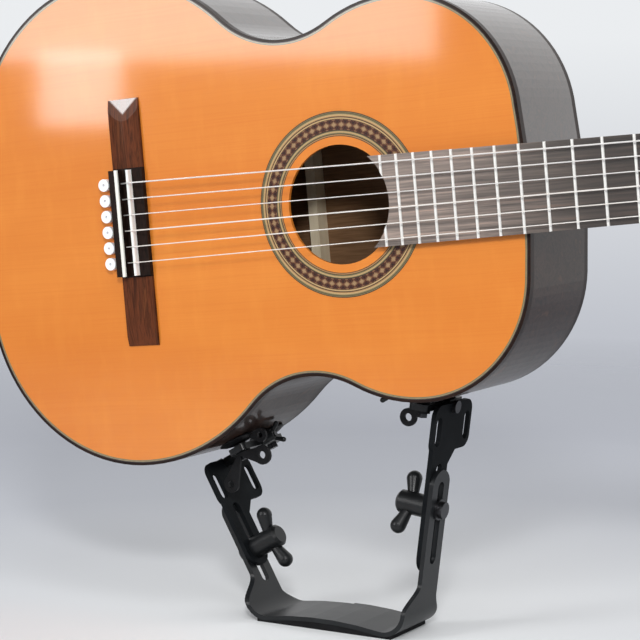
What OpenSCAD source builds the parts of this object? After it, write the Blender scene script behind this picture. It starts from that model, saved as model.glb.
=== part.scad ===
// Classical guitar resting on a U-shaped table and thigh support.
// The support holds the lower side of the guitar with four suction cups on two clamped arms.
// Origin: middle of the support's foot on the table. +Z is up, +X runs with the neck,
// and the soundboard faces -Y.

/* [Guitar body] */
// String length from the saddle to the nut
scale_length = 650; // [640:1:660]
// Distance from the saddle to the tail of the body
tail_reach = 160; // [155:1:170]
// How far the body runs past the twelfth fret
joint_past_fret = 2; // [0:0.5:4]
// Depth of the body
body_depth = 102; // [94:1:106]
// Half of the greatest width, at the lower bout
lower_half = 188.3; // [183:0.5:192]
// Place of the greatest width, from the saddle
lower_place = -17; // [-22:1:-12]
// How far the tail reaches past the lower bout's circle
tail_past = 7; // [4:0.5:13]
// Radius of the lower bout on its waist side
lower_waist_r = 152; // [146:1:156]
// Radius of the waist
waist_r = 76; // [68:1:84]
// Half of the width at the upper bout
upper_half = 146; // [141:0.5:150]
// Length of the shoulders, from the upper bout to the body's end under the neck
shoulder_l = 96; // [92:1:100]
// Radius of the upper bout on its waist side
upper_waist_r = 115; // [105:1:122]
// How far the shoulders reach past the upper bout's circle
shoulder_past = 3; // [2:0.5:8]
// Thickness of the soundboard
top_t = 2.6; // [2.2:0.1:3.2]
// Thickness of the back
back_t = 3; // [2.4:0.1:3.4]
// Thickness of the sides, and width of the bindings at their edges
side_t = 2.4; // [1.8:0.1:3]
// Height of the bindings
binding_h = 6; // [4:0.5:8]
// Width of the linings inside the edges
lining_w = 6; // [4:0.5:8]
// Height of the linings
lining_h = 14; // [10:1:18]
// Length of the block under the neck
neck_block_l = 30; // [30:1:50]
// Thickness of the block at the tail
tail_block_l = 20; // [12:1:20]
// Width of both blocks
block_w = 76; // [70:1:84]
// Width of a soundboard strut
strut_w = 4; // [3:0.5:6]
// Height of a soundboard strut
strut_h = 5; // [4:0.5:7]
// Width of a cross bar
bar_w = 8; // [6:0.5:10]
// Height of a cross bar
bar_h = 14; // [10:1:18]

/* [Sound hole] */
// Diameter of the sound hole
hole_d = 87; // [84:0.5:90]
// Centre of the sound hole, from the saddle
hole_place = 178; // [176:0.5:180]
// Inner radius of the rosette
rosette_in = 49.5; // [48:0.5:53]
// Outer radius of the rosette
rosette_out = 69; // [64:0.5:70]
// Depth of the rosette inlay
rosette_t = 1; // [0.8:0.1:1.4]

/* [Neck and head] */
// Width of the neck at the nut
nut_w = 52; // [50:0.5:54]
// Width of the fingerboard at the twelfth fret
board_w12 = 62; // [60:0.5:64]
// Thickness of the fingerboard
board_t = 6.5; // [5.5:0.1:7.5]
// Height of a fret above the board
fret_h = 1.1; // [0.8:0.1:1.3]
// Thickness of the neck wood at the nut
neck_t_nut = 15; // [14:0.5:18]
// Thickness of the neck wood at the body
neck_t_body = 17.5; // [17:0.5:22]
// Length of the nut along the strings
nut_l = 5; // [4:0.5:6]
// Height of the nut above the board
nut_rise = 1.9; // [1.5:0.1:2.4]
// Backward tilt of the head
head_tilt = 15; // [12:0.5:16]
// Length of the head
head_l = 190; // [180:1:200]
// Half of the head's width
head_half = 34; // [33:0.5:36]
// Thickness of the head wood under its veneer
head_t = 16; // [16:0.5:19]
// Thickness of the head veneer
veneer_t = 2.5; // [2:0.1:3]
// Width of a head slot
head_slot_w = 14; // [13:0.5:15]
// Place of the head slots, from the middle of the head
head_slot_y = 15.5; // [15:0.25:16]
// Start of the head slots, from the nut
head_slot_start = 24; // [20:1:27]
// Distance from the nut to the first roller
roller_first = 50; // [48:0.5:54]
// Distance between rollers
roller_pitch = 35; // [35:0.5:37]
// Radius of a string roller
roller_r = 5; // [4.5:0.1:5.5]

/* [Bridge and strings] */
// Length of the bridge
bridge_l = 190; // [180:1:200]
// Reach of the bridge behind the saddle
bridge_rear = 19; // [18:0.5:21]
// Reach of the bridge in front of the saddle
bridge_front = 9; // [8:0.5:11]
// Thickness of the bridge wings
wing_h = 4; // [3:0.5:5]
// Length of the tie block
tie_l = 82; // [78:0.5:86]
// Thickness of the tie block along the strings
tie_w = 8.5; // [7.5:0.5:9.5]
// Height of the tie block
tie_h = 9; // [8:0.5:10]
// Height of the block that holds the saddle
saddle_block_h = 7; // [6.5:0.5:8]
// Thickness of the saddle
saddle_t = 2.6; // [2:0.1:3]
// Height of the saddle above the soundboard
saddle_h = 12; // [11:0.1:13]
// Diameter of a tie bead
bead_d = 9.5; // [7:0.5:10]
// Thickness of a tie bead
bead_t = 4; // [3.5:0.5:5]
// Distance between outer strings at the saddle
saddle_spread = 61; // [56:0.5:62]
// Distance between outer strings at the nut
nut_spread = 43; // [41:0.5:44]

/* [How the guitar stands] */
// Height of the saddle above the table
saddle_z = 303; // [298:1:312]
// Place of the saddle along the table
saddle_x = -152; // [-158:1:-146]
// Distance from the soundboard back to the middle of the arms
face_front = 47.5; // [45:0.5:52]
// Rise of the neck towards the head
neck_rise = 5.52; // [4:0.1:7]

/* [Support] */
// Thickness of the bent base strip
strip_t = 3.5; // [3:0.5:4.5]
// Width of the uprights and arms
strip_w = 27; // [25:1:30]
// Reach of the base in front of the middle of the arms
base_front = 36; // [32:1:40]
// Reach of the base behind it
base_back = 22; // [18:1:28]
// Inner radius of the two bends
bend_r = 16; // [14:0.5:19]
// Thickness of the foot pad at its ends
pad_t = 1.5; // [1.5:0.1:3]
// Height of the arch between the two feet
arch_rise = 4; // [3:0.5:6]
// Lean of the tail-side upright and arm
lean_left = 30; // [26:0.5:33]
// Lean of the neck-side upright and arm
lean_right = 7; // [4:0.5:10]
// Thickness of an arm
arm_t = 3.5; // [3:0.5:4.5]
// Width of the clamp slots
slot_w = 9; // [8:0.5:10]
// Distance from the tail-side arm to its line of contact
reach_left = 32; // [30:0.5:36]
// Distance from the neck-side arm to its line of contact
reach_right = 18.8; // [18:0.1:22]
// Top end of the tail-side upright, below the contact
left_post_top = 38; // [36:1:44]
// Top end of the neck-side upright, below the contact
right_post_top = 54; // [50:1:60]
// Clamp bolt of the tail-side arm, below the contact
left_clamp = 80; // [74:0.5:82]
// Clamp bolt of the neck-side arm, below the contact
right_clamp = 84; // [80:0.5:88]
// Lower end of the tail-side arm, below the contact
left_arm_end = 94; // [90:1:96]
// Lower end of the neck-side arm, below the contact
right_arm_end = 133; // [128:1:138]
// Width of the plate at the top of an arm
plate_w = 61; // [58:1:64]
// How far that plate stands out on the front side of the arm
plate_front = 2; // [0:0.5:4]

/* [Heads with suction cups] */
// Depth of the bracket axis below the guitar
rod_drop = 8; // [8:0.5:10]
// Place of the bracket axis behind the middle of the arm
rod_y = 14.5; // [14:0.5:16]
// Distance from an arm to the far end of its head nut
rod_reach = 52; // [50:1:56]
// Distance between the two cups of a head
cup_gap = 43; // [40:1:44]
// Radius of a suction cup
cup_r = 15; // [11:0.5:16]
// Shift of the neck-side cups towards their arm
cup_shift = 6.5; // [5:0.5:8]
// Radius of a head bolt
rod_r = 2; // [2:0.25:3]
// Radius of a clamp bolt
clamp_r = 3; // [2.5:0.25:3.5]
// Length of a wing knob
knob_l = 26; // [24:1:30]
// Radius of a wing knob's hub
knob_r = 8.7; // [8:0.1:10]
// Reach of a wing knob's lobes from its axis
lobe_reach = 19; // [18:0.5:22]
// Radius of the lobes' round ends
lobe_r = 6; // [5:0.5:7]
// Turn of the neck-side wing knob
knob_turn = 29; // [0:1:90]

/* [Hidden] */

$fn = 48;
arc_step = 4;          // angle between points on the outline
over = 1;              // overlap of cutting shapes past a face
fit = 0.1;             // radial clearance of running fits
slip = 0.2;            // gap between moving faces
contact_gap = 0.3;     // gap between a cup's rim and the guitar

body_front = scale_length / 2 + joint_past_fret;
upper_place = body_front - shoulder_l;
upper_neck_r = shoulder_l - shoulder_past;
lower_tail_r = tail_reach + lower_place - tail_past;
inner_top = -top_t;
inner_back = -body_depth + back_t;
hole_r = hole_d / 2;

// ---- Outline of the body: seven tangent arcs on each side ----

function polar(c, r, a) = c + r * [cos(a), sin(a)];
function arc_points(c, r, a0, a1) =
    let (n = max(2, ceil(abs(a1 - a0) / arc_step)))
    [for (i = [1:n]) polar(c, r, a0 + (a1 - a0) * i / n)];
function angle_of(v) = atan2(v.y, v.x);

// Radius of the flat arc on the centre line that is tangent to a bout's circle.
function end_radius(c, r, reach) = (r * r - reach * reach - c.y * c.y) / (2 * (r - reach));

lower_tail_c = [lower_place, lower_half - lower_tail_r];
lower_waist_c = [lower_place, lower_half - lower_waist_r];
upper_waist_c = [upper_place, upper_half - upper_waist_r];
upper_neck_c = [upper_place, upper_half - upper_neck_r];
tail_r = end_radius(lower_tail_c, lower_tail_r, tail_reach + lower_place);
tail_c = [tail_r - tail_reach, 0];
shoulder_r = end_radius(upper_neck_c, upper_neck_r, body_front - upper_place);
shoulder_c = [body_front - shoulder_r, 0];

// Centre of the waist circle, outside and tangent to the circles on both sides of it.
waist_span = norm(upper_waist_c - lower_waist_c);
waist_d1 = lower_waist_r + waist_r;
waist_d2 = upper_waist_r + waist_r;
waist_along = (waist_span * waist_span + waist_d1 * waist_d1 - waist_d2 * waist_d2) / (2 * waist_span);
waist_off = sqrt(waist_d1 * waist_d1 - waist_along * waist_along);
waist_dir = (upper_waist_c - lower_waist_c) / waist_span;
waist_c = lower_waist_c + waist_along * waist_dir + waist_off * [-waist_dir.y, waist_dir.x];

tail_a = angle_of(lower_tail_c - tail_c);
waist_a1 = angle_of(waist_c - lower_waist_c);
waist_a2 = angle_of(waist_c - upper_waist_c);
shoulder_a = angle_of(upper_neck_c - shoulder_c);

function half_outline(inset) = concat(
    arc_points(tail_c, tail_r - inset, 180, tail_a),
    arc_points(lower_tail_c, lower_tail_r - inset, tail_a, 90),
    arc_points(lower_waist_c, lower_waist_r - inset, 90, waist_a1),
    arc_points(waist_c, waist_r + inset, waist_a1 + 180, waist_a2 + 180),
    arc_points(upper_waist_c, upper_waist_r - inset, waist_a2, 90),
    arc_points(upper_neck_c, upper_neck_r - inset, 90, shoulder_a),
    arc_points(shoulder_c, shoulder_r - inset, shoulder_a, 0));
function outline(inset) =
    let (half = half_outline(inset), n = len(half))
    concat([[-tail_reach + inset, 0]], half, [for (i = [n - 2:-1:0]) [half[i].x, -half[i].y]]);

// ---- Frames ----

// The guitar is drawn lying on its back: x along the strings from the saddle,
// y towards the bass side, z out of the soundboard. This stands it in the support.
module in_support() {
    translate([saddle_x, -face_front, saddle_z]) rotate([90, -neck_rise, 0]) children();
}
// The head's own frame starts at the back of the nut and tilts backwards.
module at_head() {
    translate([scale_length + nut_l, 0, 0]) rotate([0, head_tilt, 0]) children();
}
function standing(p) = [
    saddle_x + cos(neck_rise) * p.x - sin(neck_rise) * p.y,
    saddle_z + sin(neck_rise) * p.x + cos(neck_rise) * p.y];

// Each arm points straight at the guitar's side where the side faces it.
contact_left = standing(polar([lower_waist_c.x, -lower_waist_c.y], lower_waist_r,
    lean_left - neck_rise - 90));
contact_right = standing(polar([upper_waist_c.x, -upper_waist_c.y], upper_waist_r,
    -lean_right - neck_rise - 90));

// Frame of an arm: origin on the line of contact, x inwards over the support,
// y backwards, z along the arm up to the guitar.
module at_left() {
    translate([contact_left.x, 0, contact_left.y]) rotate([0, -lean_left, 0]) children();
}
module at_right() {
    translate([contact_right.x, 0, contact_right.y]) mirror([1, 0, 0])
        rotate([0, -lean_right, 0]) children();
}

// ---- Small shapes ----

// Stands a flat shape up: its x runs along y and its y along z, with thickness along x.
module upright_plate(x0, x1) {
    translate([x0, 0, 0]) rotate([90, 0, 90]) linear_extrude(x1 - x0) children();
}
// Cylinder along x
module rod_x(r, x0, x1) {
    translate([x0, 0, 0]) rotate([0, 90, 0]) cylinder(r = r, h = x1 - x0);
}
// Cylinder along y
module rod_y(r, y0, y1) {
    translate([0, y1, 0]) rotate([90, 0, 0]) cylinder(r = r, h = y1 - y0);
}
// Flat slot with round ends, along its y
module slot_shape(w, y0, y1) {
    translate([-w / 2, y0 + w / 2]) square([w, y1 - y0 - w]);
    translate([0, y0 + w / 2]) circle(d = w);
    translate([0, y1 - w / 2]) circle(d = w);
}
// Rectangle with round corners
module round_rect(x0, y0, x1, y1, r) {
    translate([x0 + r, y0]) square([x1 - x0 - 2 * r, y1 - y0]);
    translate([x0, y0 + r]) square([x1 - x0, y1 - y0 - 2 * r]);
    for (x = [x0 + r, x1 - r], y = [y0 + r, y1 - r]) translate([x, y]) circle(r = r);
}
// Round rod between two points
module rod(p, q, r) {
    d = q - p;
    translate(p) rotate([0, acos(d.z / norm(d)), atan2(d.y, d.x)]) cylinder(r = r, h = norm(d), $fn = 16);
}

// ---- Body ----

module slab(inset, z0, z1) {
    translate([0, 0, z0]) linear_extrude(z1 - z0) polygon(outline(inset));
}
module rim(outer, inner, z0, z1) {
    difference() {
        slab(outer, z0, z1);
        slab(inner, z0 - over, z1 + over);
    }
}
module at_hole() { translate([hole_place, 0, 0]) children(); }

module soundboard() color([0.91, 0.59, 0.27]) in_support() difference() {
    slab(side_t, -top_t, 0);
    at_hole() translate([0, 0, -top_t - over]) cylinder(r = hole_r, h = top_t + 2 * over);
    at_hole() rosette_ring(rosette_t + over);
}
module rosette_ring(h) {
    translate([0, 0, -rosette_t]) difference() {
        cylinder(r = rosette_out, h = h);
        translate([0, 0, -over]) cylinder(r = rosette_in, h = h + 2 * over);
    }
}
module rosette() color([0.45, 0.33, 0.2]) in_support() at_hole() rosette_ring(rosette_t);

module back_plate() color([0.3, 0.2, 0.15]) in_support() slab(side_t, -body_depth, inner_back);

module side_half(side) {
    intersection() {
        rim(0, side_t, binding_h - body_depth, -binding_h);
        translate([-tail_reach - over, side > 0 ? 0 : -2 * lower_half, -body_depth])
            cube([tail_reach + body_front + 2 * over, 2 * lower_half, body_depth]);
    }
}
module bass_side() color([0.33, 0.24, 0.19]) in_support() side_half(1);
module treble_side() color([0.33, 0.24, 0.19]) in_support() side_half(-1);

module bindings() color([0.2, 0.12, 0.09]) in_support() {
    rim(0, side_t, -binding_h, 0);
    rim(0, side_t, -body_depth, binding_h - body_depth);
}

// Space of the two end blocks, as deep as the inside of the body
module block_space(x0, x1) {
    translate([x0, -block_w / 2, -body_depth]) cube([x1 - x0, block_w, body_depth]);
}
module end_block_spaces() {
    block_space(body_front - neck_block_l, body_front + over);
    block_space(-tail_reach - over, tail_block_l - tail_reach);
}
module neck_block() color([0.7, 0.5, 0.32]) in_support() intersection() {
    slab(side_t, inner_back, inner_top);
    block_space(body_front - neck_block_l, body_front + over);
}
module tail_block() color([0.7, 0.5, 0.32]) in_support() intersection() {
    slab(side_t, inner_back, inner_top);
    block_space(-tail_reach - over, tail_block_l - tail_reach);
}
module linings() color([0.75, 0.6, 0.42]) in_support() difference() {
    union() {
        rim(side_t, side_t + lining_w, inner_top - lining_h, inner_top);
        rim(side_t, side_t + lining_w, inner_back, inner_back + lining_h);
    }
    end_block_spaces();
}

strut_count = 7;
strut_turn = 3.2;                      // angle between neighbouring struts
strut_focus = scale_length - 120;      // point that the struts fan out from
strut_start = -tail_reach + 50;
bar_gap = 12;                          // from the sound hole's edge to a cross bar
lower_bar = hole_place - hole_r - bar_gap - bar_w;
upper_bar = hole_place + hole_r + bar_gap;
back_bars = [-90, 5, 101, 250];       // places of the back's cross bars

module cross_bar(x, z0, z1) {
    intersection() {
        slab(side_t + lining_w, z0, z1);
        translate([x, -lower_half, z0]) cube([bar_w, 2 * lower_half, z1 - z0]);
    }
}
module soundboard_braces() color([0.86, 0.72, 0.5]) in_support() {
    for (i = [0:strut_count - 1])
        translate([strut_focus, 0, inner_top - strut_h])
            rotate([0, 0, (i - (strut_count - 1) / 2) * strut_turn])
                translate([strut_start - strut_focus, -strut_w / 2, 0])
                    cube([lower_bar - strut_start - bar_gap, strut_w, strut_h]);
    cross_bar(lower_bar, inner_top - bar_h, inner_top);
    cross_bar(upper_bar, inner_top - bar_h, inner_top);
}
module back_braces() color([0.86, 0.72, 0.5]) in_support() {
    for (x = back_bars) cross_bar(x, inner_back, inner_back + bar_h);
}

// ---- Neck, fingerboard and head ----

function board_half(x) = nut_w / 2 + (board_w12 - nut_w) * (scale_length - x) / scale_length;
function fret_x(n) = scale_length * pow(2, -n / 12);
fret_count = 19;
board_start = fret_x(fret_count) - 13;
heel_root = 8;                         // how far the heel starts inside the body's outline
// Heel sections: [share of the depth, reach from the body, width]
heel_sections = [[0.12, 62, 59], [0.24, 40, 50], [0.42, 27, 38], [0.65, 21, 29], [0.86, 18, 24], [1, 16, 21]];

module neck_section(x, w, t) {
    translate([x, 0, 0]) rotate([90, 0, 90]) linear_extrude(0.01)
        polygon([for (a = [0:7.5:180]) [w / 2 * cos(a), -t * pow(sin(a), 0.85)]]);
}
module heel_section(s) {
    translate([0, 0, -s[0] * body_depth]) linear_extrude(0.01) polygon(concat(
        [[body_front - heel_root, s[2] / 2], [body_front - heel_root, -s[2] / 2]],
        [for (a = [-90:10:90]) [body_front + s[1] * cos(a), s[2] / 2 * sin(a)]]));
}
module neck() color([0.42, 0.24, 0.14]) in_support() difference() {
    union() {
        hull() {
            neck_section(body_front - heel_root, 2 * board_half(body_front), neck_t_body);
            neck_section(scale_length + nut_l - 0.01, nut_w, neck_t_nut);
        }
        for (i = [0:len(heel_sections) - 2]) hull() {
            heel_section(heel_sections[i]);
            heel_section(heel_sections[i + 1]);
        }
    }
    slab(0, -body_depth - over, over);
    translate([body_front - heel_root, -lower_half, -body_depth - over])
        cube([3 * heel_root + 60, 2 * lower_half, over]);
}

module fingerboard() color([0.17, 0.15, 0.14]) in_support() difference() {
    linear_extrude(board_t) polygon([
        [board_start, -board_half(board_start)], [scale_length, -board_half(scale_length)],
        [scale_length, board_half(scale_length)], [board_start, board_half(board_start)]]);
    at_hole() translate([0, 0, -over]) cylinder(r = hole_r, h = board_t + 2 * over);
}
module frets() color([0.8, 0.79, 0.74]) in_support() difference() {
    for (n = [1:fret_count])
        translate([fret_x(n), board_half(fret_x(n)), board_t]) rotate([90, 0, 0])
            linear_extrude(2 * board_half(fret_x(n))) intersection() {
                circle(r = fret_h, $fn = 24);
                translate([-fret_h, 0]) square([2 * fret_h, fret_h]);
            }
    at_hole() cylinder(r = hole_r, h = board_t + 2 * fret_h);
}
nut_top = board_t + nut_rise;
module nut() color([0.93, 0.91, 0.84]) in_support() {
    translate([scale_length, nut_w / 2, 0]) rotate([90, 0, 0]) linear_extrude(nut_w) {
        square([nut_l, nut_top - nut_l / 2]);
        translate([nut_l / 2, nut_top - nut_l / 2]) circle(r = nut_l / 2);
    }
}

head_total = head_t + veneer_t;
roller_z = -head_total / 2;
head_slot_end = roller_first + 2 * roller_pitch + 26;
crest = 7;                             // drop of the crest's corners at the head's end
neck_half = nut_w / 2;
head_flare = 18;                       // length over which the head widens

module head_shape(z0, z1) {
    translate([0, 0, z0]) linear_extrude(z1 - z0) difference() {
        polygon(concat(
            [[-over * 8, neck_half], [-over * 8, -neck_half], [0, -neck_half], [head_flare, -head_half]],
            [for (i = [-8:8]) [head_l - crest * pow(i / 8, 2), head_half * i / 8]],
            [[head_flare, head_half], [0, neck_half]]));
        for (side = [-1, 1]) translate([0, side * head_slot_y]) rotate(-90)
            slot_shape(head_slot_w, head_slot_start, head_slot_end);
    }
}
module behind_nut() {
    translate([scale_length - 20, -head_half - over, -60]) cube([20 + nut_l, 2 * (head_half + over), 80]);
}
module each_roller() {
    for (i = [0:2]) translate([roller_first + i * roller_pitch, 0, roller_z]) children();
}
module headstock() color([0.4, 0.23, 0.14]) in_support() difference() {
    at_head() difference() {
        head_shape(-head_total, -veneer_t);
        each_roller() for (side = [0, 1]) mirror([0, side, 0]) rod_y(roller_r + fit, web_depth, head_half + over);
        for (side = [0, 1]) mirror([0, side, 0]) screw_places() rod_y(screw_r, head_half - screw_l, head_half + over);
    }
    behind_nut();
}
module head_veneer() color([0.25, 0.14, 0.1]) in_support() difference() {
    at_head() head_shape(-veneer_t, 0);
    behind_nut();
}

// ---- Tuning machines ----

tuner_t = 1.5;                         // plate thickness
tuner_face = head_half + tuner_t;
gear_r = 6;
gear_teeth = 14;
gear_t = 3.6;
worm_r = 2.6;
worm_l = 9.4;
shaft_r = 1.5;
worm_x = gear_r + worm_r + slip;       // from a roller's axis to its worm's axis
worm_y = tuner_face + 4;
lug_t = 2;
lug_half = 3.2;
lug_reach = 7.2;
button_z = -34;                        // where the button starts, behind the head
button_l = 16;
button_w = 15;
button_t = 8;
web_depth = 2.9;                       // where a roller's bore ends in the middle of the head
screw_r = 1.1;
screw_l = 9;
screw_head_r = 2;
screw_head_t = 0.8;
plate_start = roller_first - 16;
plate_end = roller_first + 2 * roller_pitch + 16;

module screw_places() {
    each_roller() translate([12, 0, 0]) children();
    translate([plate_start + 2.8, 0, roller_z]) children();
}
module tuner_plate() {
    difference() {
        union() {
            translate([0, tuner_face, roller_z]) rotate([90, 0, 0]) linear_extrude(tuner_t)
                round_rect(plate_start, -head_total * 0.4, plate_end, head_total * 0.4, 3);
            each_roller() for (z = [worm_l / 2 + slip, -worm_l / 2 - slip - lug_t])
                translate([-worm_x - lug_half, tuner_face, z]) cube([2 * lug_half, lug_reach, lug_t]);
        }
        each_roller() rod_y(roller_r - 1 + fit, head_half - over, tuner_face + over);
        each_roller() translate([-worm_x, worm_y, -head_total]) cylinder(r = shaft_r + fit, h = 2 * head_total);
        screw_places() rod_y(screw_r, head_half - over, tuner_face + over);
    }
}
module bass_tuner_plate() color([0.85, 0.7, 0.35]) in_support() at_head() tuner_plate();
module treble_tuner_plate() color([0.85, 0.7, 0.35]) in_support() at_head() mirror([0, 1, 0]) tuner_plate();

module tuner_screws() color([0.85, 0.75, 0.45]) in_support() at_head()
    for (side = [0, 1]) mirror([0, side, 0]) screw_places() {
        rod_y(screw_r, head_half - screw_l, tuner_face);
        rod_y(screw_head_r, tuner_face, tuner_face + screw_head_t);
    }

// Strings 4, 5 and 6 end on the bass side, and 3, 2 and 1 on the treble side.
// The outer strings take the rollers nearest the nut.
function tuner_side(n) = n > 3 ? 0 : 1;
function tuner_place(n) = n > 3 ? 6 - n : n - 1;
module at_tuner(n) {
    in_support() at_head() mirror([0, tuner_side(n), 0])
        translate([roller_first + tuner_place(n) * roller_pitch, 0, roller_z]) children();
}
module tuner_knob(n) {
    color([0.93, 0.9, 0.82]) at_tuner(n) translate([-worm_x, worm_y, 0]) {
        translate([0, 0, -worm_l / 2]) cylinder(r = worm_r, h = worm_l);
        translate([0, 0, button_z - roller_z]) cylinder(r = shaft_r, h = worm_l / 2 + slip + lug_t + 0.4 - button_z + roller_z);
        translate([0, button_t / 2, button_z - roller_z]) rotate([90, 0, 0]) linear_extrude(button_t)
            translate([0, -button_l]) round_rect(-button_w / 2, 0, button_w / 2, button_l, 5);
    }
}
module tuner_roller(n) {
    color([0.9, 0.88, 0.8]) at_tuner(n) {
        rod_y(roller_r, web_depth + slip, head_half - slip);
        rod_y(roller_r - 1, head_half - slip - 0.01, worm_y - gear_t / 2);
        translate([0, worm_y + gear_t / 2, 0]) rotate([90, 0, 0]) linear_extrude(gear_t)
            polygon([for (i = [0:gear_teeth - 1], k = [0:3])
                polar([0, 0], k < 2 ? gear_r : gear_r - 1, (i + k / 4) * 360 / gear_teeth)]);
    }
}

// ---- Bridge and strings ----

tie_top = tie_h;
tie_hole_z = 4.5;
tie_hole_r = 1;
strip_rise = 0.8;                      // white strip above the tie block
strip_l = 2.6;
wing_edge = 1;                         // wing's thickness at its end
wing_slope = 18;                       // length of the slope at a wing's end
wing_sag = 1.6;                        // wings are this much thinner along their edges
wing_mid = (bridge_front - bridge_rear) / 2;
wing_arch_r = (pow((bridge_front + bridge_rear) / 2, 2) + wing_sag * wing_sag) / (2 * wing_sag);
string_r = [0.36, 0.41, 0.52, 0.38, 0.45, 0.56];

module bridge() color([0.3, 0.15, 0.11]) in_support() difference() {
    union() {
        // Wings, arched across and sloping down at their ends
        intersection() {
            translate([0, bridge_l / 2, 0]) rotate([90, 0, 0]) linear_extrude(bridge_l) intersection() {
                translate([wing_mid, wing_h - wing_arch_r]) circle(r = wing_arch_r, $fn = 180);
                translate([-bridge_rear, 0]) square([bridge_rear + bridge_front, wing_h + over]);
            }
            upright_plate(-bridge_rear - over, bridge_front + over) polygon([
                [-bridge_l / 2, 0], [bridge_l / 2, 0], [bridge_l / 2, wing_edge],
                [bridge_l / 2 - wing_slope, wing_h + 0.2], [wing_slope - bridge_l / 2, wing_h + 0.2],
                [-bridge_l / 2, wing_edge]]);
        }
        // Tie block
        translate([-bridge_rear, -tie_l / 2, 0]) cube([tie_w, tie_l, tie_top]);
        // Block of the saddle, sloping down to the front
        translate([0, tie_l / 2, 0]) rotate([90, 0, 0]) linear_extrude(tie_l) polygon([
            [-saddle_t - 2, 0], [bridge_front, 0], [bridge_front, wing_h], [saddle_t, saddle_block_h],
            [-saddle_t - 2, saddle_block_h]]);
    }
    translate([-saddle_t / 2, -(tie_l - 1) / 2, wing_h / 2]) cube([saddle_t, tie_l - 1, saddle_h]);
    for (n = [1:6]) translate([-bridge_rear - over, string_y(n, saddle_spread), tie_hole_z])
        rod_x(tie_hole_r, 0, tie_w + 2 * over);
    // Seat of the white strip
    translate([tie_w - bridge_rear - strip_l, -tie_l / 2 - over, tie_top - strip_rise])
        cube([strip_l + over, tie_l + 2 * over, 2 * strip_rise]);
}
module tie_block_strip() color([0.95, 0.94, 0.88]) in_support()
    translate([tie_w - bridge_rear - strip_l, -tie_l / 2, tie_top - strip_rise])
        cube([strip_l, tie_l, 2 * strip_rise]);
module saddle() color([0.97, 0.96, 0.91]) in_support()
    translate([0, (tie_l - 1) / 2, 0]) rotate([90, 0, 0]) linear_extrude(tie_l - 1) {
        translate([-saddle_t / 2, wing_h / 2]) square([saddle_t, saddle_h - saddle_t / 2 - wing_h / 2]);
        translate([0, saddle_h - saddle_t / 2]) circle(r = saddle_t / 2);
    }
bead_x = -bridge_rear - 2.5 - bead_d / 2;
module tie_beads() color([0.97, 0.96, 0.93]) in_support() for (n = [1:6])
    translate([bead_x, string_y(n, saddle_spread), tie_hole_z - bead_t / 2]) difference() {
        cylinder(d = bead_d, h = bead_t);
        translate([0, 0, bead_t - 2]) cylinder(r = 1, h = bead_t);
    }

function string_y(n, spread) = (n - 3.5) * spread / 5;
// Where each string meets its roller, from the middle of the head
roller_ys = [19, 14.5, 12.5];
coil_turns = 3;
coil_step = 30;                        // angle between points round a roller
tube_sides = 8;
// Height of a string's middle over a round support of radius r that turns it by an angle
function over_round(r, rs, turn) = (r + rs + 0.02) / cos(turn / 2);

// The string runs from its bead through the tie block, over the saddle and the nut,
// and then winds round its roller.
module guitar_string(n, tint) {
    rs = string_r[n - 1];
    tie = [bead_x + bead_d / 2, string_y(n, saddle_spread), tie_hole_z];
    knee = [tie_w - bridge_rear + 1.2, tie.y, tie_hole_z];
    top = [0, tie.y, saddle_h - saddle_t / 2 + over_round(saddle_t / 2, rs, 50)];
    nut_p = [scale_length + nut_l / 2, string_y(n, nut_spread),
        nut_top - nut_l / 2 + over_round(nut_l / 2, rs, 34)];
    // The nut's point in the head's frame, and the tangent from it to the roller
    dx = nut_p.x - scale_length - nut_l;
    h0 = [dx * cos(head_tilt) - nut_p.z * sin(head_tilt), dx * sin(head_tilt) + nut_p.z * cos(head_tilt)];
    c = [roller_first + tuner_place(n) * roller_pitch, roller_z];
    wrap_r = (roller_r + rs + 0.05) / cos(coil_step / 2);
    gap = norm(c - h0);
    a = angle_of(c - h0) + asin(wrap_r / gap) + 90;
    sign = tuner_side(n) == 0 ? 1 : -1;
    y_start = sign * roller_ys[tuner_place(n)];
    coil = [for (i = [0:coil_turns * 360 / coil_step])
        let (q = polar(c, wrap_r, a - i * coil_step))
        from_head([q.x, y_start - sign * i * coil_step / 360 * 2.1 * rs, q.y])];
    color(tint) in_support() tube(concat([tie, knee, top, nut_p], coil), rs);
}
function from_head(p) = [scale_length + nut_l + cos(head_tilt) * p.x + sin(head_tilt) * p.z,
    p.y, -sin(head_tilt) * p.x + cos(head_tilt) * p.z];
function unit(v) = v / norm(v);
// Round tube through points that all run across the y axis
module tube(points, r) {
    n = len(points);
    ring = [for (i = [0:n - 1])
        let (d1 = unit(points[max(i, 1)] - points[max(i, 1) - 1]),
            d2 = unit(points[min(i, n - 2) + 1] - points[min(i, n - 2)]),
            t = unit(d1 + d2), u = unit(cross(t, [0, 1, 0])), v = cross(u, t), k = 1 / (d1 * t))
        for (j = [0:tube_sides - 1]) points[i] + r * cos(j * 360 / tube_sides) * v
            + r * k * sin(j * 360 / tube_sides) * u];
    polyhedron(ring, concat(
        [[for (j = [0:tube_sides - 1]) j]],
        [for (i = [0:n - 2], j = [0:tube_sides - 1], k = [0, 1])
            let (a = i * tube_sides + j, b = i * tube_sides + (j + 1) % tube_sides)
            k == 0 ? [a, a + tube_sides, b] : [b, a + tube_sides, b + tube_sides]],
        [[for (j = [tube_sides - 1:-1:0]) (n - 1) * tube_sides + j]]));
}
nylon = [0.9, 0.86, 0.8];
wound = [0.8, 0.78, 0.74];

// ---- Support ----

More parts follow.
